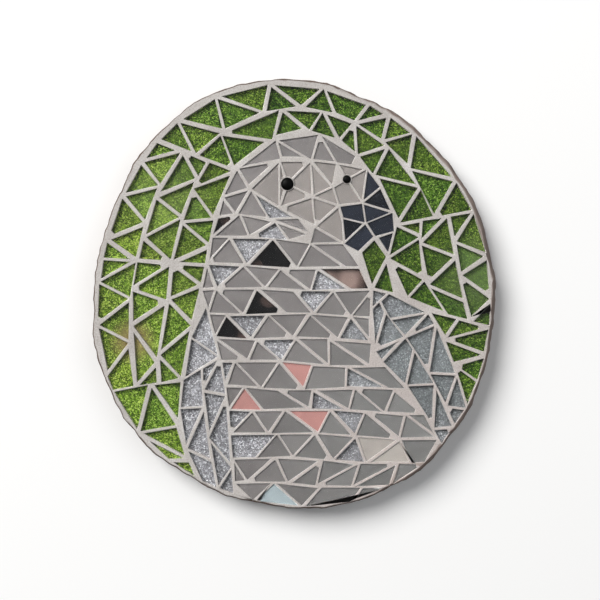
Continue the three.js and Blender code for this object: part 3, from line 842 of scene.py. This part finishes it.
def bead_black():
    """A moulded black glass bead with a fire polish and faint ripples from the mould."""
    material, tree = new_material("black_bead_glass")
    ripples = add_node(
        tree,
        "ShaderNodeTexNoise",
        {"Vector": object_position(tree), "Scale": 1 / (2.4 * MM), "Detail": 1.0},
    )
    bump = add_node(
        tree,
        "ShaderNodeBump",
        {"Strength": 0.25, "Distance": 0.2 * MM, "Height": ripples.outputs["Fac"]},
    )
    shader = add_node(
        tree,
        "ShaderNodeBsdfPrincipled",
        {
            "Base Color": linear("#030303"),
            "Roughness": 0.45,
            "Specular IOR Level": 0.1,
            "Normal": bump.outputs[0],
        },
    )
    add_node(tree, "ShaderNodeOutputMaterial", {"Surface": shader.outputs[0]})
    return material


# ---- The pieces of glass and their backings ----


def front_outlines(node):
    """The outline of each piece of glass in a CAD node, from the faces at its front."""
    bm = copy_of(node)
    front = min(v.co.y for v in bm.verts)
    behind = [f for f in bm.faces if max(v.co.y for v in f.verts) > front + SAME_LEVEL]
    bmesh.ops.delete(bm, geom=behind, context="FACES")
    bmesh.ops.dissolve_limit(bm, angle_limit=math.radians(1), verts=bm.verts, edges=bm.edges)
    outlines = [[v.co.copy() for v in f.verts] for f in bm.faces]
    bm.free()
    return outlines


def widened(outline, by):
    """The outline with every side moved outwards in its plane. A piece near an eye is hollow on one side."""
    count = len(outline)
    middle = sum(outline, Vector()) / count
    area = sum(
        (outline[i] - middle).cross(outline[(i + 1) % count] - middle).y for i in range(count)
    )
    turn = math.copysign(1, area)
    moved = []
    for i, point in enumerate(outline):
        before = (point - outline[i - 1]).normalized()
        after = (outline[(i + 1) % count] - point).normalized()
        out_before = Vector((-before.z, 0, before.x)) * turn
        out_after = Vector((-after.z, 0, after.x)) * turn
        both = out_before + out_after
        moved.append(point + both * by / max(1 + out_before.dot(out_after), SHARPEST_CORNER))
    return moved


def laid(outlines, seed):
    """Each outline as it was laid: a little out of true, and with a tone and a hue of its own."""
    dice = random.Random(seed)
    for outline in outlines:
        middle = sum(outline, Vector()) / len(outline)
        slope = Vector((dice.gauss(0, TILT), 0, dice.gauss(0, TILT)))
        yield [(p, slope.dot(p - middle)) for p in outline], (dice.random(), dice.random())


def add_tiles(bm, outlines, seed, back, front, tilted):
    """Flat faces at front, one for each piece, drawn back to the level behind it."""
    layers = [bm.faces.layers.float.new(name) for name in ("tile_tone", "tile_hue")]
    faces = []
    for points, own in laid(outlines, seed):
        corners = [bm.verts.new((p.x, front + (lift if tilted else 0), p.z)) for p, lift in points]
        face = bm.faces.new(corners)
        for layer, share in zip(layers, own):
            face[layer] = share
        faces.append(face)
    deep = bmesh.ops.extrude_face_region(bm, geom=faces)["geom"]
    for vert in (v for v in deep if isinstance(v, bmesh.types.BMVert)):
        vert.co.y = back


def lay_glass(kind, backing, thickness, seed):
    """Every piece of one kind: a backing of this thickness on the adhesive, and clear glass over it."""
    outlines = [widened(o, TIGHT_FIT) for node in GLASS_NODES[kind] for o in front_outlines(node)]

    plates = bmesh.new()
    add_tiles(plates, outlines, seed, BED_FRONT, BED_FRONT - thickness, False)
    bmesh.ops.recalc_face_normals(plates, faces=plates.faces)
    add_piece(f"{kind}_backing", plates, [backing])

    bodies = bmesh.new()
    back = BED_FRONT - thickness - GLASS_GAP
    add_tiles(bodies, outlines, seed, back, GLASS_FRONT, True)
    bmesh.ops.recalc_face_normals(bodies, faces=bodies.faces)
    front_edges = [e for e in bodies.edges if max(v.co.y for v in e.verts) < (back + GLASS_FRONT) / 2]
    bmesh.ops.bevel(
        bodies,
        geom=front_edges,
        offset=EDGE_GRIND,
        offset_type="OFFSET",
        affect="EDGES",
        segments=2,
        profile=0.5,
        clamp_overlap=False,
        material=-1,
    )
    bodies.normal_update()
    for face in bodies.faces:
        face.material_index = 0 if abs(face.normal.y) > FLAT_ON else 1
    add_piece(f"{kind}_glass", bodies, [CLEAR, SNAPPED_EDGE], GLASS_NODES[kind])


# ---- Grout, wood and beads ----


def looks_outwards(face):
    """Whether a face looks away from the middle of the slice, as its outside does."""
    middle = face.calc_center_median()
    outwards = Vector((middle.x, 0, middle.z)).normalized()
    return face.normal.dot(outwards) > LEAST_OUTWARD


def outer_band(bm):
    """The faces round the outside of a slice, found by spreading out from its farthest corner."""
    farthest = max(bm.verts, key=lambda v: v.co.x**2 + v.co.z**2)
    band = set()
    waiting = [f for f in farthest.link_faces if looks_outwards(f)]
    while waiting:
        face = waiting.pop()
        if face in band:
            continue
        band.add(face)
        neighbours = (g for e in face.edges for g in e.link_faces)
        waiting.extend(g for g in neighbours if looks_outwards(g))
    return band


def scallop(bm):
    """Breaks up the outside of a slice and draws it in where the bark was thick."""
    bmesh.ops.recalc_face_normals(bm, faces=bm.faces)
    band = outer_band(bm)
    edges = list({e for f in band for e in f.edges})
    bmesh.ops.subdivide_edges(bm, edges=edges, cuts=SCALLOP_CUTS, use_grid_fill=True)
    bm.normal_update()
    for vert in {v for f in outer_band(bm) for v in f.verts}:
        place = Vector((vert.co.x, vert.co.y * ALONG_THE_GRAIN, vert.co.z)) / SCALLOP_WIDTH
        depth = min(max(0, 0.5 + noise.noise(place)), 1) * SCALLOP
        reach = math.hypot(vert.co.x, vert.co.z)
        vert.co.x -= vert.co.x / reach * depth
        vert.co.z -= vert.co.z / reach * depth


def fill_joints(material):
    """The grout, flat in the joints. Its rim is marked, because it is worn there."""
    bm = copy_of("grout")
    bmesh.ops.dissolve_limit(bm, angle_limit=math.radians(1), verts=bm.verts, edges=bm.edges)
    scallop(bm)
    worn = bm.verts.layers.float.new("rim_wear")
    for vert in {v for f in outer_band(bm) for v in f.verts}:
        vert[worn] = 1
    bmesh.ops.triangulate(bm, faces=bm.faces)
    add_piece("grout_fill", bm, [material], ["grout"])


def bark_slice(material):
    """The wood, with the furrows that the bark left on its side."""
    bm = copy_of("wood_slice")
    bmesh.ops.dissolve_limit(bm, angle_limit=math.radians(0.5), verts=bm.verts, edges=bm.edges)
    scallop(bm)
    bmesh.ops.triangulate(bm, faces=bm.faces)
    add_piece("log_slice", bm, [material], ["wood_slice"])


def set_bead(node, material):
    """A round glass bead, domed on its face."""
    low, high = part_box(node)
    middle = (low + high) / 2
    radius = (high.x - low.x) / 2 * BEAD_FIT
    rise = radius * DOME_RISE
    bm = bmesh.new()
    rim = [
        bm.verts.new((middle.x + radius * math.cos(a), high.y, middle.z + radius * math.sin(a)))
        for a in (math.tau * k / BEAD_SIDES for k in range(BEAD_SIDES))
    ]
    ring = bm.faces.new(rim)
    wall = bmesh.ops.extrude_face_region(bm, geom=[ring])["geom"]
    face = next(f for f in wall if isinstance(f, bmesh.types.BMFace))
    bmesh.ops.translate(bm, vec=(0, low.y + rise - high.y, 0), verts=face.verts)
    climb = [k / (DOME_RINGS + DOME_FLAT) * math.pi / 2 for k in range(DOME_RINGS + 1)]
    for below, above in zip(climb, climb[1:]):
        inset = radius * (math.cos(below) - math.cos(above))
        depth = rise * (math.sin(above) - math.sin(below))
        bmesh.ops.inset_region(bm, faces=[face], thickness=inset, use_even_offset=True)
        bmesh.ops.translate(bm, vec=(0, -depth, 0), verts=face.verts)
    bmesh.ops.recalc_face_normals(bm, faces=bm.faces)
    add_piece(f"{node}_dome", bm, [material], [node], smooth=True)


# ---- Putting the panel together ----

CLEAR = clear_glass("clear_float_glass", "#fdfdfd", 0.03)
SNAPPED_EDGE = clear_glass("snapped_glass_edge", "#f4f5f4", 0.4)

GREY = satin_backing("satin_grey_glass", "#656261", "#575454", 0.15, aside="#5f605f")
PALE = satin_backing("satin_stone_glass", "#787370", "#6b6764", 0.08)
NAVY = satin_backing("blue_black_lacquer", "#20242d", "#15181f", 0.5, gloss=0.05)
ROSE = satin_backing("rose_glass", "#9b6f6a", "#8d645f", 0.06)
ICE = satin_backing("ice_blue_glass", "#8f9b9f", "#808c91", 0.05)
PEARL = satin_backing("pearl_glass", "#8f8a85", "#807c77", 0.06)

lay_glass("green", green_glitter(), GLITTER_COAT, 1)
lay_glass("grey", GREY, FLASHED_COLOUR, 2)
lay_glass("pale", PALE, FLASHED_COLOUR, 3)
lay_glass("glitter", silver_glitter(), GLITTER_COAT, 4)
lay_glass("navy", NAVY, FLASHED_COLOUR, 5)
lay_glass("black", mirror_black(), GLITTER_COAT, 6)
lay_glass("rose", ROSE, FLASHED_COLOUR, 7)
lay_glass("ice", ICE, FLASHED_COLOUR, 8)
lay_glass("pearl", PEARL, FLASHED_COLOUR, 9)

fill_joints(cement_grout())
bark_slice(sawn_log())
bead_glass = bead_black()
set_bead("eye_bead_near", bead_glass)
set_bead("eye_bead_far", bead_glass)

add_camera()
light_studio()
add_backdrop()
